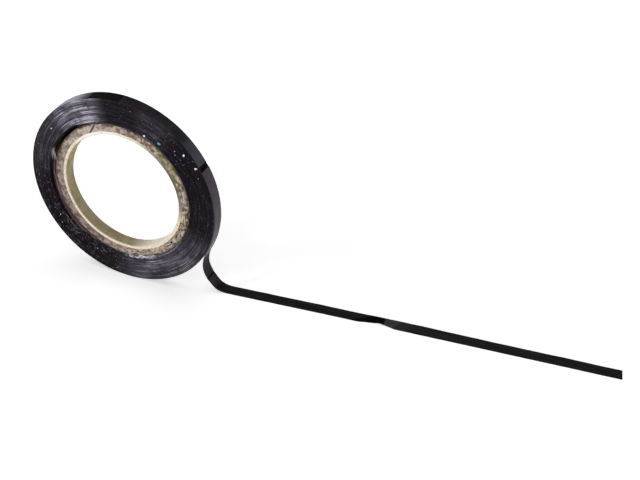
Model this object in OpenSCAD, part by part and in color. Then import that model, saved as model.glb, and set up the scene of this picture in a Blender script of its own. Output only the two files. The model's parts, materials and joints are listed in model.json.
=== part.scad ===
// Roll of copper foil tape for stained glass work, with its free end drawn off and lying flat.
//
// Millimetres, +Z up. The origin is the middle of the core's bore, the bore runs along Y, the roll
// stands on its rim on the plane z = -roll_d / 2, and the free tape runs away from it along +X.
// Angles are measured in the XZ plane from +X towards +Z.

/* [Roll] */
// Outer diameter of the full roll
roll_d = 124; // [110:1:140]
// Width of the tape
tape_w = 7.9; // [4.8:0.1:9.6]
// How far a turn may stand to either side of its neighbours
stagger = 0.1; // [0.02:0.01:0.2]
// Number of bands of turns that stand together on the side faces
band_count = 14; // [6:1:24]
// Radial thickness of the last turn
last_turn_t = 0.2; // [0.15:0.05:0.4]

/* [Core] */
// Diameter of the bore, which fits a dispenser hub
bore_d = 76.2; // [72:0.1:78]
// Wall thickness of the whole paperboard core
core_wall = 7.5; // [6:0.1:9]
// Thickness of the pale facing paper in the bore
inner_ply_t = 2.2; // [1.8:0.1:2.8]
// Thickness of the facing paper under the tape
outer_ply_t = 0.6; // [0.3:0.1:1]
// Bevel worn on each edge of the bore
lip = 1.6; // [0.8:0.1:1.7]

/* [Loose first turns] */
// How far the pack has slumped off the core on the slack side
slump = 4.3; // [2:0.1:5]
// Thickness of the loose first turns together, where they arch
loose_t = 1; // [0.4:0.1:1.6]
// How much thicker they are below the arch, where they spread out
loose_fan = 1.5; // [0:0.1:2]
// Gap between the loose turns and the pack
slit = 0.15; // [0.1:0.05:0.3]

/* [Free tape] */
// Thickness of the foil with its adhesive
foil_t = 0.1; // [0.06:0.01:0.15]
// Thickness of the release liner
liner_t = 0.1; // [0.06:0.01:0.15]
// Angle on the rim at which the last turn becomes the free tape
lay_start = 27; // [15:1:40]
// Angle on the rim at which the free tape leaves the roll
lay_end = -26; // [-26:1:-22]
// Length of foil at the cut end that peels off its liner
peel_l = 30; // [15:1:50]

/* [Hidden] */
$fn = 180;
roll_r = roll_d / 2;
bore_r = bore_d / 2;
core_r = bore_r + core_wall;
core_w = tape_w + 2 * stagger;
board_r = core_r - outer_ply_t;
ply_r = bore_r + inner_ply_t;
pack_r = roll_r - last_turn_t;
floor_z = -roll_r;

// The crease pressed across the last turn, beside the place where the free tape begins
crease_a = 28.5;
crease_d = 0.12;

// Where the pack stands off the core: it rises over two spans and returns over a third
slump_rise = [108, 135];
slump_step = [142, 160];
slump_fall = [205, 262];
// Share of the slump that is reached over the first span
slump_first = 0.66;
// The loose turns go up to the pack over the first span and drop back to the core over the second
cross_rise = [110, 122];
cross_fall = [159, 168];
// The loose turns are drawn where they have room
loose_from = 116;
loose_to = 251;
arc_step = 3;
// Keeps the chords of their inner outline outside the round core
chord_gap = 0.03;

// Free tape: gap to the rim it still lies on, and the spacing of its rings there
lay_gap = 0.15;
lay_steps = 14;
rings_per_span = 2;
// Gap between the stiff stretches of the free tape where it folds
fold_gap = 0.3;
peel_gap = 0.02;
// Route of the seam between foil and liner, from just after the rim to the foot of the bend
bend_route = [
    [54.5, -0.4, -30.5], [53.3, -0.2, -34.5], [52.6, 0.4, -38.5], [52.4, 1.4, -42.5],
    [52.6, 2.7, -46.5], [53.2, 4.2, -50.5], [54.2, 5.6, -54], [55.4, 6.7, -57],
    [57.2, 7.6, -59.4], [59.8, 8.4, -61], [62.8, 9, -61.75], [66, 9.4, -61.9]
];
// The same route along the table, to the cut end
run_route = [
    [66, 9.4, -61.9], [78, 10.7, -61.9], [100, 13, -61.9], [127, 15.8, -61.9], [147, 17.7, -61.9],
    [167, 19.6, -61.9], [187, 21.4, -61.9], [207, 23.3, -61.9], [240, 26.3, -61.9],
    [272, 29.3, -61.9], [287, 30.6, -61.9], [302, 32, -61.9]
];

// ---- helpers -------------------------------------------------------------------------------

// 0 before the span, 1 after it, and a half cosine between
function ease(a, span) =
    a <= span[0] ? 0 :
    a >= span[1] ? 1 :
    (1 - cos(180 * (a - span[0]) / (span[1] - span[0]))) / 2;
function polar(r, a) = [r * cos(a), r * sin(a)];

// Radial stand-off of the pack from the core, then the thickness and stand-off of the loose turns
function pack_lift(a) =
    slump * (slump_first * ease(a, slump_rise) + (1 - slump_first) * ease(a, slump_step) - ease(a, slump_fall));
function loose_h(a) = min(loose_t + loose_fan * ease(a, cross_fall), pack_lift(a) - slit);
function loose_lift(a) =
    chord_gap + (pack_lift(a) - slit - loose_h(a)) * (ease(a, cross_rise) - ease(a, cross_fall));

// A ring of rectangular section about the Y axis
module ring(r_in, r_out, w) {
    rotate([90, 0, 0])
        difference() {
            cylinder(r = r_out, h = w, center = true);
            cylinder(r = r_in, h = w + 2, center = true);
        }
}

// A flat outline in the XZ plane, given its thickness along Y
module slab(points, w) {
    rotate([90, 0, 0])
        linear_extrude(height = w, center = true)
            polygon(points);
}

// Point on a smooth curve through p, at the fraction t of span i
function span_point(p, i, t) =
    let (
        a = p[max(i - 1, 0)],
        b = p[i],
        c = p[i + 1],
        d = p[min(i + 2, len(p) - 1)]
    )
    (2 * b + (c - a) * t + (2 * a - 5 * b + 4 * c - d) * t * t
        + (3 * b - a - 3 * c + d) * t * t * t) / 2;
function smooth(p, n) = [
    for (i = [0:len(p) - 2]) for (k = [0:n - 1]) span_point(p, i, k / n),
    p[len(p) - 1]
];
function unit(v) = v / norm(v);
function along(p, i) = unit(p[min(i + 1, len(p) - 1)] - p[max(i - 1, 0)]);
// Across the tape: as near to Y as its direction allows. Its face looks along the cross product.
function across(t) = unit([0, 1, 0] - t[1] * t);

// A strip that follows p, from the height lo to the height hi above it
module strip(p, lo, hi) {
    rings = [
        for (i = [0:len(p) - 1])
            let (t = along(p, i), s = across(t), n = cross(t, s), h = tape_w / 2)
                [p[i] - h * s + lo * n, p[i] + h * s + lo * n, p[i] + h * s + hi * n, p[i] - h * s + hi * n]
    ];
    points = [for (r = rings) each r];
    last = 4 * (len(rings) - 1);
    // Both faces are cut along the same diagonals, so that a thin strip keeps its thickness
    sides = [
        for (i = [0:len(rings) - 2]) for (k = [0:3])
            let (a = 4 * i + k, b = 4 * i + (k + 1) % 4)
                each k < 2 ?
                    [[a, a + 4, b + 4], [a, b + 4, b]] :
                    [[a, a + 4, b], [b, a + 4, b + 4]]
    ];
    polyhedron(points, concat([[0, 1, 2, 3]], sides, [[last + 3, last + 2, last + 1, last]]));
}

// The stretches of the free tape: round the rim and down the bend, along the table, and the end
lay_r = roll_r + lay_gap + liner_t;
lay_points = [
    for (i = [0:lay_steps])
        let (a = lay_start + (lay_end - lay_start) * i / lay_steps)
            [lay_r * cos(a), 0, lay_r * sin(a)]
];
bend_points = smooth(concat(lay_points, bend_route), rings_per_span);
run_points = smooth(run_route, rings_per_span);
function moved_start(p, gap) = concat([p[0] + gap * unit(p[1] - p[0])], [for (i = [1:len(p) - 1]) p[i]]);
peel_x = run_route[len(run_route) - 1][0] - peel_l;
run_all = moved_start(run_points, fold_gap);
run_foil = [for (p = run_all) if (p[0] <= peel_x + 0.01) p];
tip_foil = moved_start([for (p = run_all) if (p[0] >= peel_x - 0.01) p], fold_gap);

// ---- the core ------------------------------------------------------------------------------

// Pale facing paper of the bore, bevelled at both edges
module core_inner_ply() {
    half = core_w / 2;
    color("#efe3c6")
        rotate([90, 0, 0])
            rotate_extrude()
                polygon([
                    [bore_r, -half + lip], [bore_r + lip, -half], [ply_r, -half],
                    [ply_r, half], [bore_r + lip, half], [bore_r, half - lip]
                ]);
}

// Grey-brown board that gives the core its wall
module core_board() {
    color("#b9a68c")
        ring(ply_r, board_r, core_w);
}

// Thin facing paper that the first turn of tape is stuck to
module core_outer_ply() {
    color("#8f7a62")
        ring(board_r, core_r, core_w);
}

// ---- the wound tape ------------------------------------------------------------------------

// First turns: they lie on the core, cross over to the slumped pack, and arch above a hollow
module inner_wraps() {
    angles = [for (a = [loose_from:arc_step:loose_to]) a];
    back = [for (i = [len(angles) - 1:-1:0]) angles[i]];
    outer = [for (a = angles) polar(core_r + loose_lift(a) + loose_h(a) - chord_gap, a)];
    inner = [for (a = back) polar(core_r + loose_lift(a), a)];
    color("#4a3b3e")
        slab(concat(outer, inner), tape_w);
}

// The tight pack of turns, in bands that stand a little to one side or the other
module wound_tape() {
    band_h = (pack_r - core_r) / band_count;
    shift = [for (i = [0:band_count - 1]) stagger * sin(137.5 * i)];
    right = [
        for (i = [0:band_count - 1]) each [
            [core_r + i * band_h, tape_w / 2 + shift[i]],
            [core_r + (i + 1) * band_h, tape_w / 2 + shift[i]]
        ]
    ];
    left = [
        for (i = [band_count - 1:-1:0]) each [
            [core_r + (i + 1) * band_h, -tape_w / 2 + shift[i]],
            [core_r + i * band_h, -tape_w / 2 + shift[i]]
        ]
    ];
    slack = [for (a = [slump_rise[0]:arc_step:slump_fall[1]]) polar(core_r + pack_lift(a), a)];
    color("#2b282c")
        difference() {
            rotate([90, 0, 0])
                rotate_extrude()
                    polygon(concat(right, left));
            slab(concat([[0, 0]], slack), core_w + 2);
        }
}

// The last turn, with a crease pressed across it
module outer_wrap() {
    color("#3a383c")
        difference() {
            ring(pack_r, roll_r, tape_w);
            rotate([0, -crease_a, 0])
                translate([roll_r, 0, 0])
                    rotate([0, 45, 0])
                        cube([crease_d * sqrt(2), core_w + 2, crease_d * sqrt(2)], center = true);
        }
}

// ---- the free tape -------------------------------------------------------------------------

module liner_bend() {
    color("#5a5148")
        strip(bend_points, -liner_t, 0);
}

module foil_bend() {
    color("#2a282b")
        strip(bend_points, 0, foil_t);
}

module liner_run() {
    color("#5a5148")
        strip(run_all, -liner_t, 0);
}

module foil_run() {
    color("#2a282b")
        strip(run_foil, 0, foil_t);
}

// The end of the foil, which peels up off the liner
module foil_tip() {
    color("#2a282b")
        strip(tip_foil, peel_gap, foil_t);
}

core_inner_ply();
core_board();
core_outer_ply();
inner_wraps();
wound_tape();
outer_wrap();
liner_bend();
foil_bend();
liner_run();
foil_run();
foil_tip();
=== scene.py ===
"""Looks of a roll of copper foil tape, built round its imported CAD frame.

Metres, in the frame of the CAD: the origin is the middle of the core's bore, the bore runs along Y,
the roll stands on its rim, and the free tape runs away from it along +X. Angles round the roll are in
degrees in the XZ plane, from +X towards +Z. The front is the side that looks along -Y.
"""
import json
import math

import bpy
import numpy as np
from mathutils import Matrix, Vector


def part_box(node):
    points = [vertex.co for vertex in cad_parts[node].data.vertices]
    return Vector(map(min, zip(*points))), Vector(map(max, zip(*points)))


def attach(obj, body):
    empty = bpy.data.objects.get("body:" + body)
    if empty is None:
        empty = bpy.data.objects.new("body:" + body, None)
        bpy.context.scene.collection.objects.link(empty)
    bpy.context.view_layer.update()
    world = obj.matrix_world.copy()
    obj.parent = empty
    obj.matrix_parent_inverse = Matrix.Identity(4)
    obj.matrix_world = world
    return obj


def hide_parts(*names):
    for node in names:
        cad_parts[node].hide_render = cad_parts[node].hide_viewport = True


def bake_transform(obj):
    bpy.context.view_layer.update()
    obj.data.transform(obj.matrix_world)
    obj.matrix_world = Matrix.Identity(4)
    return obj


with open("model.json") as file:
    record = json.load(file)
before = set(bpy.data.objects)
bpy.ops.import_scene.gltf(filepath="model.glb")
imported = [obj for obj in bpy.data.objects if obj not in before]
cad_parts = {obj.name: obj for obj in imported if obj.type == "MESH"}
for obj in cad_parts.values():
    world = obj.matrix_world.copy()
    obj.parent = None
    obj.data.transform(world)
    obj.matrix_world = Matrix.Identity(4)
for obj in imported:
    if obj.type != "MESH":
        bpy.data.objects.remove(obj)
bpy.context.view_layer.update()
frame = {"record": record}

MM = 0.001


# ---- sizes, from the frame ----

def outer_r(node):
    """Outer radius of a CAD node that is round about the Y axis."""
    return round(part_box(node)[1].x, 5)


def width(node):
    """Size of a CAD node along the bore."""
    low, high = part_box(node)
    return round(high.y - low.y, 5)


ROLL_R = outer_r("outer_wrap")
PACK_R = outer_r("wound_tape")
CORE_R = outer_r("core_outer_ply")
BOARD_R = outer_r("core_board")
PLY_R = outer_r("core_inner_ply")
BORE_R = frame["record"]["mounts"][0]["dims"]["r_mm"] * MM
CORE_W = width("core_board")
TAPE_W = width("outer_wrap")
FLOOR_Z = -ROLL_R
PEEL_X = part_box("foil_tip")[0].x

# Slack side of the roll, in degrees and metres, as in part.scad
SLUMP = 4.3 * MM
SLUMP_RISE = (108, 135)
SLUMP_STEP = (142, 160)
SLUMP_FIRST = 0.66
SLUMP_FALL = (205, 262)
CROSS_RISE = (110, 122)
CROSS_FALL = (159, 168)
LOOSE_FROM = 116
LOOSE_TO = 251
LOOSE_T = 1.0 * MM
LOOSE_FAN = 1.5 * MM
SLIT = 0.15 * MM

# Free tape, as in part.scad
FOIL_T = 0.1 * MM
LINER_T = 0.1 * MM
LAY_GAP = 0.15 * MM
LAY_START = 27
LAY_END = -26
LAY_STEPS = 14
BEND_ROUTE = [
    (0.0545, -0.0004, -0.0305), (0.0533, -0.0002, -0.0345), (0.0526, 0.0004, -0.0385),
    (0.0524, 0.0014, -0.0425), (0.0526, 0.0027, -0.0465), (0.0532, 0.0042, -0.0505),
    (0.0542, 0.0056, -0.054), (0.0554, 0.0067, -0.057), (0.0572, 0.0076, -0.0594),
    (0.0598, 0.0084, -0.061), (0.0628, 0.009, -0.06175), (0.066, 0.0094, -0.0619),
]
RUN_Z = -0.0619
RUN_ROUTE = [(x, y, RUN_Z) for x, y in (
    (0.078, 0.0107), (0.1, 0.013), (0.127, 0.0158), (0.147, 0.0177), (0.167, 0.0196), (0.187, 0.0214),
    (0.207, 0.0233), (0.24, 0.0263), (0.272, 0.0293), (0.287, 0.0306), (0.302, 0.032),
)]


def add_object(name, data):
    """A new object in the scene."""
    thing = bpy.data.objects.new(name, data)
    bpy.context.scene.collection.objects.link(thing)
    return thing


# ---- camera ----

CAM_AZIMUTH = math.radians(25.04)
CAM_ELEVATION = math.radians(35.22)
CAM_DEPTH = 15.56 * ROLL_R
AIM_RIGHT = 1.867 * ROLL_R
AIM_DOWN = 0.498 * ROLL_R
LENS_MM = 91.27


def make_camera():
    """The camera looks at a point beside the roll, level, with no shift."""
    right = np.array([math.cos(CAM_AZIMUTH), math.sin(CAM_AZIMUTH), 0])
    flat = np.array([-math.sin(CAM_AZIMUTH), math.cos(CAM_AZIMUTH), 0])
    forward = flat * math.cos(CAM_ELEVATION) + np.array([0, 0, -math.sin(CAM_ELEVATION)])
    up = np.cross(right, forward)
    data = bpy.data.cameras.new("camera")
    data.lens = LENS_MM
    data.sensor_width = 36
    data.clip_start = 0.01
    camera = add_object("camera", data)
    camera.location = right * AIM_RIGHT - up * AIM_DOWN - forward * CAM_DEPTH
    camera.rotation_euler = (math.pi / 2 - CAM_ELEVATION, 0, CAM_AZIMUTH)
    bpy.context.scene.camera = camera


# ---- numbers along an angle or a length ----

def ease(a, span):
    """0 before the span, 1 after it, and a half cosine between."""
    t = np.clip((np.asarray(a, float) - span[0]) / (span[1] - span[0]), 0, 1)
    return (1 - np.cos(math.pi * t)) / 2


def hump(a, mid, half):
    """1 at mid, 0 from half away on, and a full cosine between."""
    t = np.clip((np.asarray(a, float) - mid) / half, -1, 1)
    return (1 + np.cos(math.pi * t)) / 2


def tent(a, start, peak, end):
    """0 at start and end, 1 at peak, and straight between, so it folds at all three."""
    rise = (a - start) / (peak - start)
    fall = (end - a) / (end - peak)
    return np.clip(np.minimum(rise, fall), 0, 1)


def wander(rng, angles, waves, size):
    """A smooth closed wave round the roll, of about +-size, with up to so many waves a turn."""
    counts = rng.integers(1, waves + 1, 6)
    phases = rng.uniform(0, 2 * math.pi, 6)
    rad = np.radians(angles)
    return size * sum(np.sin(n * rad + p) for n, p in zip(counts, phases)) / 2.5


def ripple(rng, s, shortest, longest, size):
    """A smooth wave along a length, of about +-size, mixed from several wavelengths."""
    lengths = rng.uniform(shortest, longest, 6)
    phases = rng.uniform(0, 2 * math.pi, 6)
    return size * sum(np.sin(2 * math.pi * s / n + p) for n, p in zip(lengths, phases)) / 2.5


def pack_lift(a):
    """How far the pack stands off the core."""
    rise = SLUMP_FIRST * ease(a, SLUMP_RISE) + (1 - SLUMP_FIRST) * ease(a, SLUMP_STEP)
    return SLUMP * (rise - ease(a, SLUMP_FALL))


def on_roll(r, a, y):
    """Points at radius r and angle a round the roll, at y along the bore."""
    rad = np.radians(a)
    r, rad, y = np.broadcast_arrays(r, rad, y)
    return np.stack([r * np.cos(rad), y, r * np.sin(rad)], -1)


# ---- meshes ----

def facing_out(points, faces):
    """The same faces, turned so that a closed mesh looks outwards."""
    a, b, c, d = (points[faces[:, i]] for i in range(4))
    volume = np.sum(a * np.cross(b, c)) + np.sum(a * np.cross(c, d))
    return faces if volume > 0 else faces[:, ::-1]


def grid_mesh(name, points, wrap_u=False, sharp=40):
    """A closed mesh from a (u, v, 3) grid: v always wraps, and u wraps or ends in flat caps."""
    n_u, n_v = points.shape[:2]
    index = np.arange(n_u * n_v).reshape(n_u, n_v)
    rows = np.vstack([index, index[:1]]) if wrap_u else index
    rows = np.hstack([rows, rows[:, :1]])
    quads = np.stack([rows[:-1, :-1], rows[1:, :-1], rows[1:, 1:], rows[:-1, 1:]], -1).reshape(-1, 4)
    if not wrap_u:
        half = n_v // 2
        k = np.arange(half - 1)
        cap = np.stack([k, k + 1, n_v - 2 - k, n_v - 1 - k], -1)
        quads = np.vstack([quads, index[0][cap], index[-1][cap[:, ::-1]]])
    flat = points.reshape(-1, 3)
    quads = facing_out(flat, quads)
    mesh = bpy.data.meshes.new(name)
    mesh.from_pydata(flat.tolist(), [], quads.tolist())
    mesh.validate()
    mesh.shade_smooth()
    mesh.set_sharp_from_angle(angle=math.radians(sharp))
    return add_object(name, mesh)


def join_meshes(name, parts, material):
    """One piece from several, all of one material."""
    for part in parts:
        part.data.materials.append(material)
    first = parts[0]
    with bpy.context.temp_override(active_object=first, selected_editable_objects=parts):
        bpy.ops.object.join()
    first.name = name
    first.data.name = name
    return first


def finish_piece(piece, body, slot, material, *nodes):
    """Material, CAD body and the CAD nodes that the piece stands for; the material slot is not used."""
    if not piece.data.materials:
        piece.data.materials.append(material)
    if body:
        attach(piece, body)
    if nodes:
        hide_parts(*nodes)
    return piece


# ---- materials ----

def srgb(red, green, blue):
    """A colour given as the eye sees it, 0 to 255, for a shader."""
    def linear(c):
        c = c / 255
        return c / 12.92 if c <= 0.04045 else ((c + 0.055) / 1.055) ** 2.4
    return (linear(red), linear(green), linear(blue), 1)


class Look:
    """A material while it is built: its nodes, and short calls for the ones used here."""

    def __init__(self, name, roughness=0.5, specular=0.5, **fixed):
        self.material = bpy.data.materials.new(name)
        self.material.use_nodes = True
        self.tree = self.material.node_tree
        self.shader = self.tree.nodes["Principled BSDF"]
        self.shader.inputs["Roughness"].default_value = roughness
        self.shader.inputs["Specular IOR Level"].default_value = specular
        for socket, value in fixed.items():
            self.shader.inputs[socket.replace("_", " ")].default_value = value
        self.place = self.tree.nodes.new("ShaderNodeTexCoord").outputs["Object"]

    def feed(self, socket, value):
        """Sets a socket to a number or colour, or links it to another node's output."""
        if isinstance(value, bpy.types.NodeSocket):
            self.tree.links.new(value, socket)
        else:
            socket.default_value = value

    def math(self, operation, *values, clamp=False):
        node = self.tree.nodes.new("ShaderNodeMath")
        node.operation = operation
        node.use_clamp = clamp
        for socket, value in zip(node.inputs, values):
            self.feed(socket, value)
        return node.outputs[0]

    def times(self, first, second, clamp=False):
        return self.math("MULTIPLY", first, second, clamp=clamp)

    def plus(self, first, second):
        return self.math("ADD", first, second)

    def minus(self, first, second):
        return self.math("SUBTRACT", first, second)

    def most(self, value, *others):
        """The largest of the values."""
        for other in others:
            value = self.math("MAXIMUM", value, other)
        return value

    def xyz(self):
        """The object's own coordinates, one by one."""
        node = self.tree.nodes.new("ShaderNodeSeparateXYZ")
        self.feed(node.inputs[0], self.place)
        return node.outputs

    def radius(self):
        """Distance from the Y axis."""
        x, _, z = self.xyz()
        return self.math("SQRT", self.plus(self.times(x, x), self.times(z, z)))

    def toward(self, angle):
        """Cosine of the angle between a point's place round the roll and the given one."""
        x, _, z = self.xyz()
        rad = math.radians(angle)
        along = self.plus(self.times(x, math.cos(rad)), self.times(z, math.sin(rad)))
        return self.math("DIVIDE", along, self.radius())

    def stretch(self, angle, full, gone):
        """1 within so many degrees of an angle round the roll, fading to 0 at so many more."""
        return self.span(self.toward(angle), math.cos(math.radians(gone)), math.cos(math.radians(full)))

    def sector(self, angle, half):
        """1 at an angle round the roll, fading to 0 at so many degrees to each side."""
        return self.stretch(angle, 0, half)

    def span(self, value, low, high, to_low=0.0, to_high=1.0):
        """Maps low..high smoothly to to_low..to_high."""
        node = self.tree.nodes.new("ShaderNodeMapRange")
        node.interpolation_type = "SMOOTHSTEP"
        names = ("Value", "From Min", "From Max", "To Min", "To Max")
        for socket, number in zip(names, (value, low, high, to_low, to_high)):
            self.feed(node.inputs[socket], number)
        return node.outputs[0]

    def band(self, value, low, high, soft):
        """1 from low to high, with edges that fade over soft to each side."""
        rise = self.span(value, low - soft, low + soft)
        return self.times(rise, self.span(value, high - soft, high + soft, 1, 0))

    def line(self, value, middle, half, soft):
        """A band given by its middle and half its width."""
        return self.band(value, middle - half, middle + half, soft)

    def streaks(self, per_metre, per_turn, detail=4.0, rough=0.55):
        """Noise in streaks that follow the turns: fine across them and long round them."""
        r = self.radius()
        x, _, z = self.xyz()
        node = self.tree.nodes.new("ShaderNodeCombineXYZ")
        turn = per_turn / (2 * math.pi)
        self.feed(node.inputs[0], self.times(r, per_metre))
        self.feed(node.inputs[1], self.times(self.math("DIVIDE", x, r), turn))
        self.feed(node.inputs[2], self.times(self.math("DIVIDE", z, r), turn))
        return self.noise(1.0, detail, rough, node.outputs[0])

    def stretched(self, x, y, z, detail=4.0, rough=0.55):
        """Noise drawn out along the axes: so many changes a metre along each."""
        node = self.tree.nodes.new("ShaderNodeVectorMath")
        node.operation = "MULTIPLY"
        self.feed(node.inputs[0], self.place)
        self.feed(node.inputs[1], (x, y, z))
        return self.noise(1.0, detail, rough, node.outputs[0])

    def noise(self, scale, detail=4.0, rough=0.55, where=None):
        node = self.tree.nodes.new("ShaderNodeTexNoise")
        self.feed(node.inputs["Vector"], where or self.place)
        self.feed(node.inputs["Scale"], scale)
        self.feed(node.inputs["Detail"], detail)
        self.feed(node.inputs["Roughness"], rough)
        return node.outputs["Fac"]

    def mix(self, factor, first, second):
        node = self.tree.nodes.new("ShaderNodeMix")
        node.data_type = "RGBA"
        self.feed(node.inputs["Factor"], factor)
        self.feed(node.inputs[6], first)
        self.feed(node.inputs[7], second)
        return node.outputs[2]

    def over(self, colour, *marks):
        """The colour with marks laid over it in turn: each a shade, its place, and how much it hides."""
        for shade, mark, cover in marks:
            colour = self.mix(self.times(mark, cover), colour, srgb(*shade))
        return colour

    def bump(self, height, distance, strength=1.0, after=None):
        node = self.tree.nodes.new("ShaderNodeBump")
        self.feed(node.inputs["Height"], height)
        node.inputs["Strength"].default_value = strength
        node.inputs["Distance"].default_value = distance
        if after:
            self.feed(node.inputs["Normal"], after)
        return node.outputs[0]

    def paint(self, colour=None, roughness=None, normal=None):
        for socket, value in (("Base Color", colour), ("Roughness", roughness), ("Normal", normal)):
            if value is not None:
                self.feed(self.shader.inputs[socket], value)
        return self.material


# Marks round the roll: the angle of each, and how far to each side it fades out, in degrees
# Painted highlights on the sides of the turns: the two wedges and the trail of one
UPPER_WEDGE = (121, 25)
WEDGE_TRAIL = (149, 44)
LOWER_WEDGE = (-58, 44)
SCUFFED_SIDE = (63, 16)
# Painted shade: the side where the turns are darkest
SHADED_SIDE = (20, 75)
DUSTY_SIDE = (215, 62)
DUSTY_LEDGE = (220, 11)
# Painted highlights on single turns, and painted glints beside the core and on the wrap
SHINY_TURNS = (119, 17)
GLINTING_TURN = (-76, 18)
GLINTING_WRAP = (-76, 16)
SHADED_ARCH = (138, 32)
PALE_FLAP = (163, 6)
# Painted reflections on the last turn, blue-grey beside the crease and grey further round
RIM_SHEEN = (2, 48)
BLUE_RIM_SHEEN = (37.5, 12)
GREY_RIM_SHEEN = (121, 12)
# Painted shade on the right side of the lip
SHADED_LIP = (26, 48)
BLEACHED_LIP = (110, 32)
# Painted highlight low in the bore
BORE_HIGHLIGHT = (308, 36)
PALE_BOARD = (124, 45)
PALE_LOWER_BOARD = (-60, 50)
# Painted shade on the left of the board
SHADED_BOARD = (210, 80)
OLIVE_BOARD = (40, 17)
PURPLE_BOARD = (43, 10)
RUBBED_BOARD = (-15, 60)
GRIMY_BOARD = (-45, 80)

# Marks across the last turn: their angles, and the degrees to each side where they are full and gone
# The crease is pressed into the last turn and painted black for the shade in it
CREASE_AT = 28.5
CREASE_EDGES = (1.2, 2.1)
# A stretch near the top painted black for a dark reflection
DARK_REFLECTION_AT = 97.5
DARK_REFLECTION_EDGES = (9, 11)

# Radii of single turns that stand out in painted highlight or dust, and how wide the painted glints and
# the flap are
SHINY_OUTER_R = 56.2 * MM
SHINY_INNER_R = 50.0 * MM
DUSTY_LEDGE_R = 50.8 * MM
GLINTS_W = 1.6 * MM
FLAP_W = 1.2 * MM

# Marks on the free tape: a painted reflection where it lies on the rim, duller in the bend, and painted
# shade black in the crease
RIM_SHEEN_Z = (-34 * MM, -16 * MM)
BEND_Z = (-53 * MM, -33 * MM)
BEND_END_X = (62 * MM, 66 * MM)
CREASE_Z = -50.5 * MM
CREASE_HALF = 0.7 * MM
CREASE_END_X = (60 * MM, 62 * MM)

# Marks at its pinch: spans of X, taken along the slanting lines there
TUCK_FROM = (122.5 * MM, 124.5 * MM)
TUCK_TO = (164.1 * MM, 164.9 * MM)
FACET_FROM = (164.4 * MM, 165.2 * MM)
FACET_TO = (161.5 * MM, 162.5 * MM)
NEXT_FACET = (162.5 * MM, 169 * MM)

COOL_TINT = (1, 0.9, 1, 1)


def pinch_facets(look, colour):
    """The pinch half way along the free tape: painted shade black on the tuck, then painted reflections
    on two paler facets.
    """
    x, y, _ = look.xyz()
    fold_line = look.minus(x, look.times(y, 1.3))
    tuck_line = look.plus(x, look.times(y, 0.2))
    facet_line = look.minus(x, look.times(y, 0.35))
    tuck = look.times(look.span(fold_line, *TUCK_FROM), look.span(tuck_line, *TUCK_TO, 1, 0))
    facet_reflection = look.times(look.span(tuck_line, *FACET_FROM), look.span(facet_line, *FACET_TO, 1, 0))
    next_facet_reflection = look.band(facet_line, *NEXT_FACET, 0.5 * MM)
    return look.over(colour, ((62, 62, 57), facet_reflection, 0.85), ((50, 50, 45), next_facet_reflection, 0.5)), tuck


def black_foil():
    """Outer face of the free tape: black satin, scuffed lengthwise, with a painted reflection where it
    lies on the rim, and painted shade dull black in its crease and tuck.
    """
    look = Look("black_foil", specular=0.1, Specular_Tint=COOL_TINT)
    scuffs = look.stretched(60, 900, 900, 5)
    cloud = look.noise(90, 3)
    dust = look.span(look.noise(1400, 2), 0.68, 0.76)
    x, _, z = look.xyz()
    painted_sheen = look.times(look.span(z, *RIM_SHEEN_Z), look.span(cloud, 0.3, 0.6, 0.55, 1))
    bend = look.times(look.band(z, *BEND_Z, 3 * MM), look.span(x, *BEND_END_X, 1, 0))
    crease_shade_line = look.line(z, CREASE_Z, CREASE_HALF, 0.25 * MM)
    crease = look.times(crease_shade_line, look.span(x, *CREASE_END_X, 1, 0))
    colour = look.over(
        look.mix(look.span(scuffs, 0.4, 0.75), srgb(17, 15, 16), srgb(42, 37, 39)),
        ((96, 86, 97), painted_sheen, 0.62),
        ((95, 92, 92), dust, 0.35),
        ((40, 29, 42), bend, 0.7),
    )
    colour, tuck = pinch_facets(look, colour)
    # Painted shade: black in the crease and in the tuck
    colour = look.over(colour, ((3, 3, 4), look.most(crease, tuck), 1))
    rough = look.plus(look.span(cloud, 0.3, 0.7, 0.3, 0.46), look.times(bend, 0.26))
    rough = look.most(rough, look.times(crease, 0.9))
    rough = look.minus(rough, look.times(tuck, 0.2))
    normal = look.bump(scuffs, 0.02 * MM, 0.5)
    normal = look.bump(cloud, 0.2 * MM, 0.5, normal)
    return look.paint(colour, rough, normal)


def rim_foil():
    """The same foil on the last turn: painted reflections in blue-grey and grey, one stretch painted
    black for a dark reflection, and a dull crease painted black for its shade.
    """
    look = Look("rim_foil", specular=0.12, Specular_Tint=COOL_TINT)
    scuffs = look.streaks(300, 30, 5, 0.6)
    across = look.stretched(500, 60, 500, 4)
    cloud = look.noise(75, 3)
    dark_reflection = look.stretch(DARK_REFLECTION_AT, *DARK_REFLECTION_EDGES)
    crease = look.stretch(CREASE_AT, *CREASE_EDGES)
    colour = look.over(
        look.mix(look.span(cloud, 0.35, 0.65), srgb(24, 21, 24), srgb(43, 39, 43)),
        ((56, 54, 62), look.span(across, 0.5, 0.72), 0.55),
        # Painted reflections
        ((66, 68, 80), look.times(look.sector(*BLUE_RIM_SHEEN), look.span(scuffs, 0.25, 0.6)), 0.8),
        ((90, 86, 96), look.times(look.sector(*RIM_SHEEN), look.span(scuffs, 0.3, 0.6, 0.55, 1)), 0.75),
        ((150, 150, 164), look.sector(*GREY_RIM_SHEEN), 0.85),
        # Painted black for a dark reflection, then for the shade in the crease
        ((4, 4, 5), dark_reflection, 1),
        ((2, 2, 3), crease, 1),
        ((120, 118, 122), look.span(look.noise(1300, 2), 0.68, 0.76), 0.3),
    )
    rough = look.span(cloud, 0.3, 0.7, 0.3, 0.44)
    rough = look.most(look.times(crease, 0.95), look.times(dark_reflection, 0.8), rough)
    normal = look.bump(scuffs, 0.03 * MM, 0.5)
    normal = look.bump(cloud, 0.3 * MM, 0.5, normal)
    return look.paint(colour, rough, normal)


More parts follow.
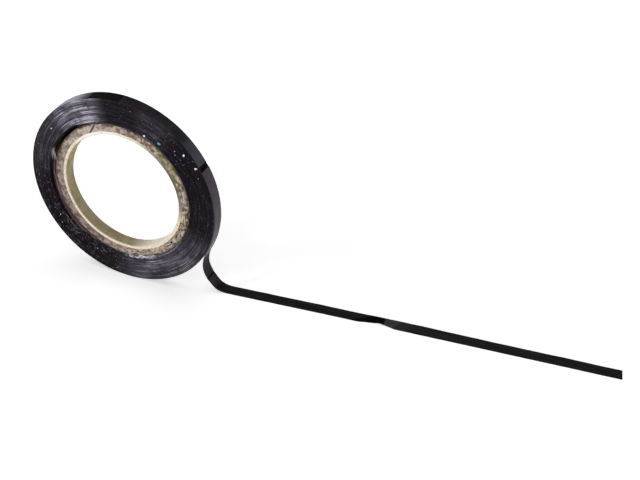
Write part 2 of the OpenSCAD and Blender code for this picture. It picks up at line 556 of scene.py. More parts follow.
def copper_side():
    """Side of the foil that was stuck to the liner: copper seen through its adhesive."""
    look = Look("copper_side", Metallic=0.85, specular=0.5)
    haze = look.stretched(300, 700, 300, 5)
    colour = look.mix(look.span(haze, 0.35, 0.7), srgb(176, 98, 62), srgb(214, 140, 98))
    rough = look.span(haze, 0.3, 0.7, 0.3, 0.5)
    return look.paint(colour, rough, look.bump(haze, 0.05 * MM, 0.5))


def release_liner():
    """Dark release paper under the foil."""
    look = Look("release_liner", specular=0.15)
    fibre = look.stretched(500, 1500, 500, 6, 0.65)
    colour = look.mix(look.span(fibre, 0.35, 0.7), srgb(34, 30, 28), srgb(62, 56, 50))
    return look.paint(colour, look.span(fibre, 0.3, 0.7, 0.5, 0.68), look.bump(fibre, 0.03 * MM, 0.5))


def sheen_and_scuff_places(look):
    """Where the edges of the turns get painted highlights, two wedges and the trail of one, and a
    scuffed place.
    """
    trail = look.times(look.sector(*WEDGE_TRAIL), 0.26)
    lower = look.times(look.sector(*LOWER_WEDGE), 0.6)
    scuffed = look.times(look.sector(*SCUFFED_SIDE), 0.22)
    return look.most(look.sector(*UPPER_WEDGE), lower, trail, scuffed)


def painted_light_on_turns(look, fine, broad):
    """Near-black turns, painted darker as shade on one side, under a haze and fine streaks of lavender
    grey painted as highlights in the wedges.
    """
    patch = look.noise(110, 4, 0.6)
    painted_sheen = sheen_and_scuff_places(look)
    streaks = look.span(look.plus(fine, look.times(painted_sheen, 0.1)), 0.53, 0.72)
    streaks = look.times(streaks, look.span(broad, 0.4, 0.6))
    streaks = look.times(streaks, look.span(patch, 0.34, 0.58, 0.25, 1))
    return look.over(
        look.mix(look.span(broad, 0.35, 0.7), srgb(8, 6, 8), srgb(24, 20, 25)),
        ((5, 4, 6), look.sector(*SHADED_SIDE), 1),
        ((116, 111, 124), look.times(painted_sheen, look.span(patch, 0.3, 0.62, 0.3, 1)), 0.55),
        ((228, 222, 238), streaks, look.plus(look.times(painted_sheen, 0.97), 0.07)),
    )


def single_turns(look, colour, spots):
    """Single turns with painted highlights, with painted glints beside the core, or that hold dust on a
    ledge.
    """
    r = look.radius()
    outer = look.line(r, SHINY_OUTER_R, 0.5 * MM, 0.5 * MM)
    inner = look.line(r, SHINY_INNER_R, 0.9 * MM, 0.8 * MM)
    shiny = look.times(look.most(outer, inner), look.sector(*SHINY_TURNS))
    glints = look.times(look.band(r, CORE_R, CORE_R + GLINTS_W, 0.5 * MM), look.sector(*GLINTING_TURN))
    ledge = look.times(look.line(r, DUSTY_LEDGE_R, 0.4 * MM, 0.4 * MM), look.sector(*DUSTY_LEDGE))
    return look.over(
        colour,
        ((214, 210, 226), look.times(shiny, look.span(spots, 0.38, 0.56)), 0.75),
        ((228, 220, 230), look.times(glints, look.span(spots, 0.46, 0.55)), 0.85),
        ((150, 142, 138), look.times(ledge, look.span(spots, 0.42, 0.55)), 0.7),
    )


def stray_streaks(look, colour, spots):
    """Thin violet and rusty streaks, dust that is thickest at the lower left, and scratches."""
    dusty = look.plus(look.times(look.sector(*DUSTY_SIDE), 0.54), 0.09)
    return look.over(
        colour,
        ((38, 24, 50), look.span(look.streaks(1500, 16, 2), 0.54, 0.66), 0.55),
        ((50, 27, 32), look.span(look.streaks(1800, 13, 2), 0.58, 0.7), 0.55),
        ((150, 146, 154), look.span(spots, 0.57, 0.7), dusty),
        ((150, 148, 156), look.span(look.streaks(300, 500, 3), 0.66, 0.74), 0.22),
    )


def wound_edges():
    """Edges of the wound turns: near black, painted darker as shade on one side, and a streaky lavender
    grey painted as highlights in two wedges.
    """
    look = Look("wound_edges", specular=0.07, Specular_Tint=COOL_TINT)
    fine = look.streaks(5200, 24, 4, 0.6)
    broad = look.streaks(1100, 7, 3)
    spots = look.streaks(1300, 110, 5, 0.6)
    colour = painted_light_on_turns(look, fine, broad)
    colour = single_turns(look, colour, spots)
    colour = stray_streaks(look, colour, spots)
    normal = look.bump(fine, 0.05 * MM, 0.6)
    normal = look.bump(spots, 0.06 * MM, 0.5, normal)
    return look.paint(colour, look.span(broad, 0.3, 0.7, 0.34, 0.5), normal)


def loose_edges():
    """Loose first turns: red-brown and purple where the copper edge and the adhesive show."""
    look = Look("loose_edges", specular=0.12)
    streak = look.streaks(2800, 16)
    patch = look.streaks(900, 12, 3)
    _, y, _ = look.xyz()
    flap = look.times(look.sector(*PALE_FLAP), look.span(y, FLAP_W - TAPE_W / 2, -TAPE_W / 2))
    colour = look.over(
        look.mix(look.span(patch, 0.35, 0.65), srgb(36, 23, 27), srgb(98, 68, 72)),
        ((172, 152, 146), look.span(streak, 0.5, 0.62), 0.7),
        ((7, 5, 6), look.sector(*SHADED_ARCH), 1),
        ((184, 181, 172), flap, 0.95),
    )
    return look.paint(colour, look.span(patch, 0.3, 0.7, 0.4, 0.58), look.bump(streak, 0.05 * MM, 0.6))


def facing_paper():
    """Pale facing paper: a burnished cream lip, painted darker as shade on one side, and a khaki bore
    painted darker as shade, with a painted highlight.
    """
    look = Look("facing_paper", specular=0.25)
    fibre = look.streaks(900, 260, 5, 0.6)
    stain = look.noise(160, 4)
    # The bore is painted darker than the lip, as shade, with a painted highlight low on the right
    bore_shade_and_highlight = look.mix(look.span(stain, 0.35, 0.7), srgb(170, 157, 124), srgb(148, 135, 99))
    bore_shade_and_highlight = look.over(bore_shade_and_highlight, ((236, 230, 214), look.sector(*BORE_HIGHLIGHT), 0.9))
    lip = look.mix(look.span(fibre, 0.4, 0.65), srgb(232, 217, 196), srgb(204, 189, 166))
    lip = look.over(lip, ((248, 243, 240), look.sector(*BLEACHED_LIP), 0.7))
    # Painted shade on the lip's right side
    lip_shade = look.mix(look.span(stain, 0.35, 0.65), srgb(112, 104, 84), srgb(72, 63, 49))
    lip = look.mix(look.times(look.sector(*SHADED_LIP), 0.95), lip, lip_shade)
    colour = look.mix(look.span(look.radius(), BORE_R + 0.1 * MM, BORE_R + 0.7 * MM), bore_shade_and_highlight, lip)
    grime = look.span(look.noise(700, 4), 0.6, 0.72)
    colour = look.over(colour, ((92, 76, 62), grime, 0.7))
    return look.paint(colour, look.span(stain, 0.3, 0.7, 0.5, 0.75), look.bump(fibre, 0.05 * MM, 0.6))


def board_stains(look, colour, mottle):
    """Paler, olive and purple places on the board, painted shade in grey at the left, and brown streaks
    where it is rubbed.
    """
    pale = look.times(look.sector(*PALE_BOARD), 0.3)
    pale = look.most(pale, look.times(look.sector(*PALE_LOWER_BOARD), 0.35))
    streaks = look.span(look.streaks(1300, 22, 4, 0.6), 0.52, 0.62)
    return look.over(
        colour,
        ((190, 178, 166), pale, 1),
        ((104, 92, 84), look.sector(*SHADED_BOARD), 0.52),
        ((112, 108, 62), look.times(look.sector(*OLIVE_BOARD), look.span(mottle, 0.25, 0.55)), 0.75),
        ((74, 58, 84), look.times(look.sector(*PURPLE_BOARD), look.span(mottle, 0.52, 0.6)), 0.6),
        ((78, 58, 44), look.times(streaks, look.sector(*RUBBED_BOARD)), 0.7),
    )


def board_grime(look, colour, mottle):
    """Black specks on the board, thickest at the lower right, and soot beside the tape."""
    grain = look.streaks(880, 120, 4, 0.6)
    level = look.span(look.sector(*GRIMY_BOARD), 0, 1, 0.64, 0.555)
    sharpness = 18
    specks = look.times(look.minus(grain, level), sharpness, clamp=True)
    rim = look.span(look.radius(), BOARD_R - 1.5 * MM, BOARD_R)
    soot = look.times(rim, look.span(mottle, 0.3, 0.6))
    return look.over(colour, ((22, 17, 17), specks, 1), ((56, 44, 44), soot, 0.75))


def core_paperboard():
    """Cut edge of the board: mottled grey-tan plies, stained and grimy."""
    look = Look("core_paperboard", roughness=0.85, specular=0.15)
    mottle = look.noise(300, 5, 0.62)
    tone = look.noise(70, 3)
    colour = look.over(
        look.mix(look.span(tone, 0.35, 0.65), srgb(198, 182, 156), srgb(186, 174, 164)),
        ((108, 92, 76), look.span(mottle, 0.43, 0.58), 1),
        ((86, 72, 60), look.span(look.streaks(3000, 26, 4, 0.6), 0.5, 0.68), 0.65),
    )
    colour = board_stains(look, colour, mottle)
    colour = board_grime(look, colour, mottle)
    return look.paint(colour, None, look.bump(mottle, 0.15 * MM, 0.8))


def wrap_paper():
    """Thin brown paper between the board and the first turn, soiled by the tape, with painted glints."""
    look = Look("wrap_paper", roughness=0.8, specular=0.15)
    patch = look.streaks(700, 60, 5, 0.65)
    colour = look.mix(look.span(patch, 0.35, 0.65), srgb(42, 32, 32), srgb(112, 96, 84))
    # Painted glints
    glints = look.times(look.sector(*GLINTING_WRAP), look.span(patch, 0.42, 0.5))
    colour = look.over(colour, ((236, 228, 228), glints, 1))
    return look.paint(colour, None, look.bump(patch, 0.06 * MM, 0.6))


def pale_dust():
    """Chips and flakes stuck to the sides of the roll."""
    look = Look("pale_dust", roughness=0.45, specular=0.6)
    tone = look.noise(2600, 2)
    return look.paint(look.mix(look.span(tone, 0.35, 0.6), srgb(168, 163, 166), srgb(244, 240, 240)))


def teal_glass():
    """A chip of teal glass."""
    look = Look("teal_glass", roughness=0.2, specular=0.6)
    tone = look.noise(3000, 2)
    return look.paint(look.mix(tone, srgb(20, 108, 118), srgb(70, 176, 178)))


def studio_floor():
    """Pale sweep, lit a little from below as on a light table, which keeps the shadows faint."""
    look = Look("studio_floor", roughness=0.9, specular=0.1, Emission_Strength=FLOOR_GLOW)
    look.shader.inputs["Emission Color"].default_value = (1, 1, 1, 1)
    tone = look.noise(3, 3)
    return look.paint(look.mix(tone, (0.9, 0.9, 0.9, 1), (0.93, 0.93, 0.925, 1)))


# ---- the free tape, a flat cord ----

RING_STEP = 0.5 * MM
ACROSS = 11
CURVE_STEPS = 24
END_SKEW = 0.8 * MM
END_SKEW_FROM = 6 * MM

# The foil lies this far off the liner, and its loose end begins this far before its joint
FOIL_CLEAR = 0.01 * MM
PEEL_EARLY = 2 * MM

# The bend: a crease slants across it, and it leans back towards the roll, most at the middle depth
# of these three below the axis. It is a little hollow across, from one distance along the tape on.
CREASE_POINT = (0.0532, 0.0042, -0.0505)
CREASE_DEPTH = 0.22 * MM
CREASE_REACH = 1.0 * MM
CREASE_SLANT = 1.2 * MM
LEAN_DEPTHS = (29 * MM, 41 * MM, 55 * MM)
LEAN_BACK = 0.35 * MM
HOLLOW_FROM = (60 * MM, 72 * MM)
HOLLOW = 0.12 * MM
LOWEST = 0.4 * MM

# The run along the table: where it begins, its slow waves, and a back edge that isn't quite flat
RUN_FROM_X = (68 * MM, 80 * MM)
WAVE_LENGTHS = (14 * MM, 60 * MM)
WAVE_SIZE = 0.06 * MM
WAVE_SLANT = 2 * MM
WAVE_MEAN = 0.1 * MM
RAISED_AT = 178 * MM
RAISED_HALF = 45 * MM
RAISED_EDGE = 0.35 * MM

# The pinch in the run: the front edge is folded under, and lifts off the table just past it
TUCK_X = (145 * MM, 157.5 * MM, 168 * MM)
TUCK_IN = 1.8 * MM
TUCK_LIFT = 0.3 * MM
FLARE_X = (157.5 * MM, 161.5 * MM, 172 * MM)
FLARE_SLANT = 2.0 * MM
FLARE_LIFT = 0.6 * MM
FLARE_TAPER = 1.2


def catmull_rom(points, per_span):
    """Points on a smooth curve through the given ones."""
    p = np.asarray(points, float)
    p = np.vstack([p[:1], p, p[-1:]])
    t = np.linspace(0, 1, per_span, endpoint=False)[:, None]
    spans = []
    for a, b, c, d in zip(p[:-3], p[1:-2], p[2:-1], p[3:]):
        bend = (2 * a - 5 * b + 4 * c - d) * t ** 2 + (3 * b - a - 3 * c + d) * t ** 3
        spans.append((2 * b + (c - a) * t + bend) / 2)
    return np.vstack(spans + [p[-1:]])


def lengths(points):
    """Distance along a route at each of its points."""
    return np.concatenate([[0], np.cumsum(np.linalg.norm(np.diff(points, axis=0), axis=1))])


def tape_route():
    """The seam between foil and liner, from the rim of the roll to the cut end, in even steps."""
    lay_r = ROLL_R + LAY_GAP + LINER_T
    lay = on_roll(lay_r, np.linspace(LAY_START, LAY_END, LAY_STEPS + 1), 0)
    route = catmull_rom(list(lay) + BEND_ROUTE + RUN_ROUTE, CURVE_STEPS)
    s = lengths(route)
    even = np.linspace(0, s[-1], round(s[-1] / RING_STEP) + 1)
    return np.stack([np.interp(even, s, route[:, i]) for i in range(3)], -1)


class Ribbon:
    """The free tape's route with its directions: along it, across it, and out of its face."""

    def __init__(self, route):
        self.centre = route
        self.s = lengths(route)
        along = np.gradient(route, axis=0)
        self.along = along / np.linalg.norm(along, axis=1)[:, None]
        side = np.array([0, 1, 0]) - self.along[:, 1:2] * self.along
        self.side = side / np.linalg.norm(side, axis=1)[:, None]
        self.out = np.cross(self.along, self.side)
        nearest = np.linalg.norm(route - np.array(CREASE_POINT), axis=1).argmin()
        self.crease_s = self.s[nearest]

    def bend_drop(self, i, v):
        """How far the bend sinks towards the roll: its crease, and its lean."""
        groove = hump(self.s[i] - CREASE_SLANT * v, self.crease_s, CREASE_REACH)
        return CREASE_DEPTH * groove + LEAN_BACK * tent(-self.centre[i, 2], *LEAN_DEPTHS)

    def run_lift(self, i, v):
        """How far the run stands off its route: its waves, and its pinch."""
        x = self.centre[i, 0]
        lift = FLARE_LIFT * tent(x - FLARE_SLANT * v, *FLARE_X) * ((1 - v) / 2) ** FLARE_TAPER
        lift += TUCK_LIFT * tent(x, *TUCK_X) * (1 - v) / 2
        wave = ripple(np.random.default_rng(5), self.s[i] + WAVE_SLANT * v, *WAVE_LENGTHS, WAVE_SIZE)
        return lift + (WAVE_MEAN + wave) * (0.6 + 0.4 * v)

    def lift(self, i, v):
        """How far the face stands off the route at ring i, across it at v from -1 to 1."""
        x = self.centre[i, 0]
        run = ease(x, RUN_FROM_X) * (self.s[i] > self.crease_s)
        lift = run * self.run_lift(i, v) - self.bend_drop(i, v) * (run < 0.5)
        lift += RAISED_EDGE * hump(x, RAISED_AT, RAISED_HALF) * (1 + v) / 2
        hollow = (1 - run) * ease(self.s[i], HOLLOW_FROM) * HOLLOW * v ** 2
        return np.maximum(lift, -LOWEST) + hollow

    def tuck(self, i):
        """How far the front edge is folded under, which narrows the tape."""
        return TUCK_IN * tent(self.centre[i, 0], *TUCK_X)

    def points(self, first, last, height):
        """A grid of points at a height above the seam, from ring first to ring last."""
        i = np.arange(first, last + 1)[:, None]
        v = np.linspace(-1, 1, ACROSS)[None, :]
        i, v = np.broadcast_arrays(i, v)
        ragged = ripple(np.random.default_rng(9), self.s[i], 3 * MM, 16 * MM, 0.03 * MM)
        off = v * (TAPE_W / 2 + ragged) + self.tuck(i) * (1 - v) / 2
        end = ease(self.centre[i, 0], (self.centre[-1, 0] - END_SKEW_FROM, self.centre[-1, 0]))
        centre = self.centre[i] - (END_SKEW * end * v)[..., None] * self.along[i]
        lift = height + self.lift(i, v)
        return centre + off[..., None] * self.side[i] + lift[..., None] * self.out[i]

    def layer(self, name, first, last, low, high):
        """One layer of the tape, a closed strip between two heights above the seam."""
        top = self.points(first, last, high)
        under = self.points(first, last, low)
        return grid_mesh(name, np.concatenate([top, under[:, ::-1]], axis=1))


def paint_underside(piece, ribbon, first, material):
    """Gives the material to the faces that look away from the tape's outer face."""
    piece.data.materials.append(material)
    centres = np.array([f.center for f in piece.data.polygons])
    normals = np.array([f.normal for f in piece.data.polygons])
    route = ribbon.centre[first:]
    for k, face in enumerate(piece.data.polygons):
        ring = first + np.linalg.norm(route - centres[k], axis=1).argmin()
        if normals[k] @ ribbon.out[ring] < -0.5:
            face.material_index = 1


def make_free_tape(foil, liner, copper):
    """The tape that has been drawn off: the liner all the way, the foil on it, and its loose end."""
    ribbon = Ribbon(tape_route())
    last = len(ribbon.s) - 1
    split = int(np.abs(ribbon.centre[:, 0] - (PEEL_X - PEEL_EARLY)).argmin())
    tape_liner = ribbon.layer("free_liner", 0, last, -LINER_T, 0)
    tape_foil = ribbon.layer("free_foil", 0, split, FOIL_CLEAR, FOIL_T)
    tail = ribbon.layer("foil_end", split, last, FOIL_CLEAR, FOIL_T)
    finish_piece(tape_liner, None, "liner", liner, "liner_bend", "liner_run")
    finish_piece(tape_foil, None, "foil", foil, "foil_bend", "foil_run")
    finish_piece(tail, None, "foil", foil, "foil_tip")
    paint_underside(tape_foil, ribbon, 0, copper)
    paint_underside(tail, ribbon, split, copper)
    for piece in (tape_liner, tape_foil):
        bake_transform(piece)
    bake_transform(tail)


# ---- the core ----

CORE_TURN = np.arange(0, 360, 0.75)
LIP_R = 0.9 * MM
LIP_STEPS = 9
WALL_STEPS = 13
PLIES = 9
NICKS = 46

# The facing's seam, which comes twice round the bore: degrees, degrees a millimetre, and its height
SEAMS_AT = (56, 236)
SEAM_HALF = 1.2
SEAM_SLOPE = 14
SEAM_HIGH = 0.16 * MM

# The back of each core piece repeats its front, turned by so many steps
BOARD_BACK_TURN = 97
WRAP_BACK_TURN = 173


def facing_front():
    """The facing's outline from the bore round the front lip to the board, as radius and y."""
    lip_y = LIP_R - CORE_W / 2
    corner = np.linspace(0, math.pi / 2, LIP_STEPS)[1:]
    lip = [(BORE_R + LIP_R * (1 - math.cos(t)), lip_y - LIP_R * math.sin(t)) for t in corner]
    return lip + [(PLY_R - 0.25 * MM, -CORE_W / 2), (PLY_R, -CORE_W / 2 + 0.08 * MM)]


def core_facing():
    """Facing paper in the bore, with rounded worn lips and the slanting seam of its wrapping."""
    rng = np.random.default_rng(11)
    a = CORE_TURN[:, None]
    front = facing_front()
    back = [(r, -y) for r, y in front]
    wall_y = np.linspace(LIP_R - CORE_W / 2, CORE_W / 2 - LIP_R, WALL_STEPS)
    outline = front[::-1] + [(BORE_R, y) for y in wall_y] + back
    r, y = (np.array(column)[None, :] for column in zip(*outline))
    worn = np.clip((PLY_R - r) / (PLY_R - BORE_R), 0, 1)
    seam = sum(hump((a - y / MM * SEAM_SLOPE) % 360, at, SEAM_HALF) for at in SEAMS_AT)
    dent = wander(rng, a, 40, 0.05 * MM) + wander(rng, a, 9, 0.06 * MM)
    r = r + worn * dent + SEAM_HIGH * seam * (worn > 0.98)
    fuzz = rng.normal(0, 0.02 * MM, (len(CORE_TURN), len(outline)))
    y = y + np.sign(y) * (wander(rng, a, 30, 0.04 * MM) + fuzz) * (1 - worn ** 2)
    return grid_mesh("core_facing", on_roll(r, a, y), wrap_u=True, sharp=60)


def board_nicks(rng):
    """Depth of the nicks in the board's side, at every angle."""
    depth = np.zeros((len(CORE_TURN), 1))
    for centre in rng.uniform(0, 360, NICKS):
        away = (CORE_TURN[:, None] - centre + 180) % 360 - 180
        depth = depth + hump(away, 0, rng.uniform(0.6, 2.2)) * rng.uniform(0.05, 0.3) * MM
    return depth


def core_body():
    """Board between the facings: the plies show on its sides as uneven steps, with nicks."""
    rng = np.random.default_rng(12)
    a = CORE_TURN[:, None]
    edges = np.linspace(PLY_R, BOARD_R, PLIES + 1)
    nick = board_nicks(rng)
    radii = []
    heights = []
    for k in range(PLIES):
        level = wander(rng, a, 60, 0.05 * MM) + rng.uniform(-0.1, 0.04) * MM
        rough = rng.normal(0, 0.025 * MM, (len(CORE_TURN), 1))
        for share, sunk in ((0.06, 0.05 * MM), (0.5, 0), (0.94, 0.05 * MM)):
            radii.append(edges[k] + share * (edges[k + 1] - edges[k]) + 0 * a)
            heights.append(CORE_W / 2 + level + rough - sunk - nick * hump(k, rng.uniform(0, PLIES), 3))
    radii = np.hstack(radii)
    heights = np.hstack(heights)
    r = np.hstack([radii, radii[:, ::-1]])
    y = np.hstack([-heights, np.roll(heights, BOARD_BACK_TURN, axis=0)[:, ::-1]])
    return grid_mesh("core_body", on_roll(r, a, y), wrap_u=True, sharp=60)


def core_wrap():
    """Thin brown paper round the board, ragged at both edges."""
    rng = np.random.default_rng(13)
    a = CORE_TURN[:, None]
    outer = CORE_R + 0 * a
    inner = BOARD_R + 0.02 * MM + 0 * a
    middle = (inner + outer) / 2
    edge = CORE_W / 2 - 0.1 * MM + wander(rng, a, 70, 0.1 * MM)
    edge = edge + rng.normal(0, 0.04 * MM, (len(CORE_TURN), 1))
    other = np.roll(edge, WRAP_BACK_TURN, axis=0)
    r = np.hstack([inner, middle, outer, outer, middle, inner])
    y = np.hstack([-edge, -edge - 0.05 * MM, -edge, other, other + 0.05 * MM, other])
    return grid_mesh("core_wrap", on_roll(r, a, y), wrap_u=True, sharp=60)


# ---- the wound tape ----

WOUND_TURN = np.arange(0, 360, 1.0)
SHOWN_TURNS = 60
TURN_BANDS = 13
# How quickly the slack beside the core closes up across the pack
SLACK_TAPER = 1.35

# The crease across the last turn and the swelling beside it: degrees, but for a depth and a share
RIM_CREASE_DEPTH = 0.17 * MM
RIM_CREASE_HALF = 0.9
RIM_CREASE_SLANT = 0.4
SWELLING_PAST = 1.7
SWELLING_HALF = 1.2
SWELLING_SHARE = 0.5


def turn_levels(rng, count):
    """How far each turn stands out from the side of the roll: in bands, and each by itself."""
    cuts = np.sort(rng.choice(np.arange(2, count - 1), TURN_BANDS - 1, replace=False))
    band = np.searchsorted(cuts, np.arange(count), side="right")
    band_level = rng.uniform(-0.11, 0.11, TURN_BANDS) * MM
    return band_level[band] + rng.normal(0, 0.025 * MM, count)


def turn_side(rng, levels):
    """Heights of the grooves and crests of the turns on one side, at every angle."""
    a = WOUND_TURN
    columns = []
    drift = wander(rng, a, 3, 0.05 * MM)
    for level in levels:
        drift = 0.8 * drift + wander(rng, a, 7, 0.02 * MM)
        crest = TAPE_W / 2 + level + drift
        columns += [crest - rng.uniform(0.05, 0.11) * MM, crest]
    return np.stack(columns, -1)


def wound_turns():
    """The pack of turns: a ridge for every turn or two, which follow the pack off the core."""
    rng = np.random.default_rng(21)
    a = WOUND_TURN[:, None]
    levels = turn_levels(rng, SHOWN_TURNS)
    front = turn_side(rng, levels)
    back = turn_side(rng, levels[::-1] * 0.8)
    share = (np.arange(2 * SHOWN_TURNS) + 0.5)[None, :] / (2 * SHOWN_TURNS)
    waver = wander(rng, WOUND_TURN, 9, 0.05 * MM)[:, None] * np.sin(math.pi * share)
    r = CORE_R + share * (PACK_R - CORE_R) + pack_lift(a) * (1 - share) ** SLACK_TAPER + waver
    radii = np.hstack([r, r[:, ::-1]])
    y = np.hstack([-front, back[:, ::-1]])
    return grid_mesh("wound_turns", on_roll(radii, a, y), wrap_u=True, sharp=75)


def last_turn():
    """The last turn, not quite even at its edges, with a crease pressed across it."""
    rng = np.random.default_rng(22)
    near_crease = np.arange(CREASE_AT - 1.6, CREASE_AT + 3, 0.1)
    a = np.unique(np.concatenate([np.arange(0, 360, 0.75), near_crease]))[:, None]
    v = np.linspace(-1, 1, 9)[None, :]
    edge = TAPE_W / 2 + wander(rng, a, 24, 0.03 * MM)
    slanted = a - RIM_CREASE_SLANT * v
    crease = hump(slanted, CREASE_AT, RIM_CREASE_HALF)
    crease = crease - SWELLING_SHARE * hump(slanted, CREASE_AT + SWELLING_PAST, SWELLING_HALF)
    soft = wander(rng, a, 14, 0.03 * MM) * (1 + v) / 2
    soft = soft + wander(rng, a, 11, 0.03 * MM) * (1 - v) / 2
    outer = ROLL_R - 0.02 * MM + soft - RIM_CREASE_DEPTH * crease - 0.05 * MM * np.abs(v) ** 6
    inner = PACK_R - 0.05 * MM + 0 * outer
    r = np.hstack([outer, inner[:, ::-1]])
    y = np.hstack([v * edge, (v * edge)[:, ::-1]])
    return grid_mesh("last_turn", on_roll(r, a, y), wrap_u=True, sharp=60)


# How the loose turns bunch: where each lies in their fanned thickness
LOOSE_SHARES = (0.03, 0.07, 0.12, 0.33, 0.38, 0.43, 0.48, 0.83, 0.89, 0.95)
STRIP_T = 0.09 * MM


def loose_strip(rng, k):
    """One loose turn: its front edge arches up to the pack, its back edge stays nearer the core."""
    start = LOOSE_FROM + rng.uniform(-3, 2)
    stop = LOOSE_TO + rng.uniform(-4, 6)
    a = np.arange(start, stop, 1.0)[:, None]
    q = LOOSE_SHARES[k]
    arch = ease(a, CROSS_RISE) - ease(a, (CROSS_FALL[0] + 3 * q, CROSS_FALL[1] + 4 * q))
    room = np.maximum(pack_lift(a) - SLIT, 0.05 * MM)
    thick = np.minimum(LOOSE_T + LOOSE_FAN * ease(a, CROSS_FALL), room)
    waver = wander(rng, a, 26, 0.1 * MM) * np.minimum(1, room / (2 * MM))
    fan = k / (len(LOOSE_SHARES) - 1)
    front = 0.05 * MM + q * thick + arch * (room - thick)
    back = fan * (thick * (1 - arch) + pack_lift(a) * arch)
    v = np.array([[-1, -0.5, 0, 0.5, 1]])
    lean = ((1 - v) / 2) ** 0.8
    r = CORE_R + back + (front - back + waver) * lean
    highest = CORE_R + np.maximum(pack_lift(a), 0.1 * MM) - 0.02 * MM
    r = np.clip(r, CORE_R + STRIP_T / 2, highest)
    proud = rng.uniform(-0.35, 0.1) * MM + wander(rng, a, 8, 0.08 * MM)
    y = v * TAPE_W / 2 - proud * (v < -0.9) + proud * (v > 0.9)
    radii = np.hstack([r + STRIP_T / 2, (r - STRIP_T / 2)[:, ::-1]])
    ys = np.hstack([y, y[:, ::-1]])
    return grid_mesh(f"loose_{k}", on_roll(radii, a, ys), sharp=50)


def loose_turns(material):
    """The first turns of the winding, which have come loose and spread out."""
    rng = np.random.default_rng(23)
    strips = [loose_strip(rng, k) for k in range(len(LOOSE_SHARES))]
    return join_meshes("loose_turns", strips, material)


# ---- chips and flakes on the sides ----

# Bright ones: angle, radius as a share of the roll's, size in millimetres
BRIGHT_CHIPS = [
    (30, 0.951, 2.2), (40, 0.919, 2.3), (67, 0.757, 1.7), (145, 0.9, 1.2),
    (213, 0.88, 1.1), (30, 0.97, 1.0), (24, 0.93, 0.6), (45, 0.87, 0.7),
    (43, 0.84, 0.6), (218, 0.92, 0.8), (246, 0.84, 1.2), (262, 0.95, 0.6),
]
TEAL_CHIP = (55.5, 0.794, 2.5)

# Small ones: how many, their sizes, and the angles they crowd round with how widely
SMALL_CHIPS = 240
SMALL_SIZES = (0.15 * MM, 0.45 * MM)
CROWDS = ((215, 25), (45, 18))

# All of them: how far off the side of the tape, and half the thickness
CHIP_HIGH = 0.12 * MM
CHIP_HALF_T = 0.06 * MM


def chip(rng, name, angle, r, size, side):
    """A thin uneven flake that lies on one side of the roll."""
    corners = int(rng.integers(5, 8))
    turn = np.linspace(0, 2 * math.pi, corners, endpoint=False) + rng.uniform(0, 1)
    reach = size / 2 * rng.uniform(0.55, 1, corners)
    place = on_roll(r, angle, side * (TAPE_W / 2 + CHIP_HIGH))
    tilt = rng.uniform(-0.25, 0.25, 2)
    rim = np.stack([reach * np.cos(turn), np.zeros(corners), reach * np.sin(turn)], -1)
    rim[:, 1] = rim[:, 0] * tilt[0] + rim[:, 2] * tilt[1]
    thick = np.array([0, CHIP_HALF_T, 0])
    grid = np.stack([place + rim * 0.6 + thick, place + rim, place + rim * 0.6 - thick], 1)
    mesh = bpy.data.meshes.new(name)
    points = grid.transpose(1, 0, 2).reshape(-1, 3)
    faces = [list(range(corners))[::-1], list(range(2 * corners, 3 * corners))]
    for k in range(corners):
        n = (k + 1) % corners
        faces += [[k, n, corners + n, corners + k]]
        faces += [[corners + k, corners + n, 2 * corners + n, 2 * corners + k]]
    mesh.from_pydata(points.tolist(), [], faces)
    return add_object(name, mesh)


def scattered_chips(material):
    """Many small pale flakes on both sides, and the few bright ones on the front."""
    rng = np.random.default_rng(31)
    chips = [chip(rng, "chip", a, share * ROLL_R, size * MM, -1) for a, share, size in BRIGHT_CHIPS]
    for _ in range(SMALL_CHIPS):
        angle = rng.choice([rng.uniform(0, 360)] + [rng.normal(*crowd) for crowd in CROWDS])
        r = rng.uniform(CORE_R + SLUMP + 0.1 * MM, ROLL_R - 0.8 * MM)
        chips.append(chip(rng, "chip", angle, r, rng.uniform(*SMALL_SIZES), rng.choice([-1, 1])))
    return join_meshes("dust_chips", chips, material)


# Shreds of tape on the front of the core: angle and radius share at each end, width in millimetres
SHREDS = [((105.8, 0.752), (117.5, 0.652), 1.3), ((97.2, 0.748), (99.6, 0.7), 1.0)]
SHRED_STEPS = 14
SHRED_T = 0.09 * MM


def shred(rng, name, start, end, wide):
    """A dark strip that lies across the board's edge, curled up a little and thicker at its end."""
    t = np.linspace(0, 1, SHRED_STEPS)[:, None]
    angle = start[0] + (end[0] - start[0]) * t + 0.5 * np.sin(2 * math.pi * t)
    r = ROLL_R * (start[1] + (end[1] - start[1]) * t)
    half = wide / 2 * MM * (0.6 + 0.5 * t + 0.15 * rng.normal(0, 1, (SHRED_STEPS, 1)))
    high = CORE_W / 2 + 0.12 * MM + 0.35 * MM * np.sin(math.pi * t) ** 2
    v = np.array([[-1, 0, 1]])
    sideways = np.degrees(half * v / r)
    y = high + 0.08 * MM * (1 - v ** 2)
    top = on_roll(r, angle + sideways, -y)
    under = on_roll(r, angle + sideways, -y + SHRED_T)
    return grid_mesh(name, np.concatenate([top, under[:, ::-1]], axis=1))


def tape_shreds(material):
    """The dark shreds that lie on the front of the core."""
    rng = np.random.default_rng(33)
    strips = [shred(rng, f"shred_{k}", *each) for k, each in enumerate(SHREDS)]
    return join_meshes("tape_shreds", strips, material)


def glass_chip(material):
    """The teal chip on the front of the roll."""
    rng = np.random.default_rng(32)
    angle, share, size = TEAL_CHIP
    piece = chip(rng, "glass_chip", angle, share * ROLL_R, size * MM, -1)
    piece.data.materials.append(material)
    return piece


# ---- floor and light ----

FLOOR_GLOW = 0.5
HORIZON_TOP = 0.08
DIM_FROM = 0.28
CEILING = (0.09, 0.09, 0.1, 1)


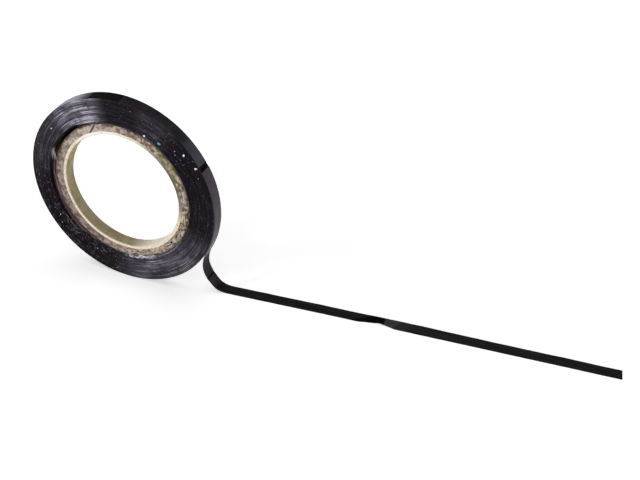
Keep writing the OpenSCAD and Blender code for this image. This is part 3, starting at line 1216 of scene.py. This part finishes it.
def make_floor(material):
    """A wide floor just under the roll and the tape."""
    size = 6.0
    mesh = bpy.data.meshes.new("floor")
    corners = [(-size, -size), (size, -size), (size, size), (-size, size)]
    mesh.from_pydata([(x, y, FLOOR_Z) for x, y in corners], [], [[0, 1, 2, 3]])
    mesh.materials.append(material)
    floor = add_object("floor", mesh)


def soft_sun(name, toward, strength, spread):
    """A sun of so many degrees across, which lights the floor evenly as far as it goes."""
    data = bpy.data.lights.new(name, "SUN")
    data.energy = strength
    data.angle = math.radians(spread)
    light = add_object(name, data)
    x, y, z = toward
    light.rotation_euler = (math.atan2(math.hypot(x, y), z), 0, math.atan2(x, -y))


def make_world():
    """Surroundings of a pale sweep: white up to a little above the horizon, and dim overhead."""
    world = bpy.data.worlds.new("studio")
    world.use_nodes = True
    tree = world.node_tree
    place = tree.nodes.new("ShaderNodeTexCoord")
    parts = tree.nodes.new("ShaderNodeSeparateXYZ")
    ramp = tree.nodes.new("ShaderNodeValToRGB")
    tree.links.new(place.outputs["Generated"], parts.inputs[0])
    tree.links.new(parts.outputs[2], ramp.inputs[0])
    ramp.color_ramp.elements[0].position = HORIZON_TOP
    ramp.color_ramp.elements[0].color = (1, 1, 1, 1)
    ramp.color_ramp.elements[1].position = DIM_FROM
    ramp.color_ramp.elements[1].color = CEILING
    background = tree.nodes["Background"]
    tree.links.new(ramp.outputs[0], background.inputs["Color"])
    background.inputs["Strength"].default_value = 1.0
    bpy.context.scene.world = world


def make_lights():
    """A wide soft light overhead, and a smaller low one from the front left."""
    make_world()
    soft_sun("overhead", (0.05, 0.1, 1), 1.3, 85)
    soft_sun("front_left", (-0.66, -0.74, 0.2), 1.5, 16)


# ---- assembly ----

make_camera()
make_free_tape(black_foil(), release_liner(), copper_side())
finish_piece(core_facing(), "roll", "facing_paper", facing_paper(), "core_inner_ply")
finish_piece(core_body(), "roll", "board", core_paperboard(), "core_board")
finish_piece(core_wrap(), "roll", "wrap_paper", wrap_paper(), "core_outer_ply")
finish_piece(loose_turns(loose_edges()), "roll", "loose_turns", None, "inner_wraps")
finish_piece(wound_turns(), "roll", "wound_turns", wound_edges(), "wound_tape")
finish_piece(last_turn(), "roll", "foil", rim_foil(), "outer_wrap")
finish_piece(scattered_chips(pale_dust()), "roll", "wound_turns", None)
finish_piece(glass_chip(teal_glass()), "roll", "wound_turns", None)
finish_piece(tape_shreds(bpy.data.materials["loose_edges"]), "roll", "loose_turns", None)
make_floor(studio_floor())
make_lights()
bpy.context.scene.view_settings.view_transform = "Standard"
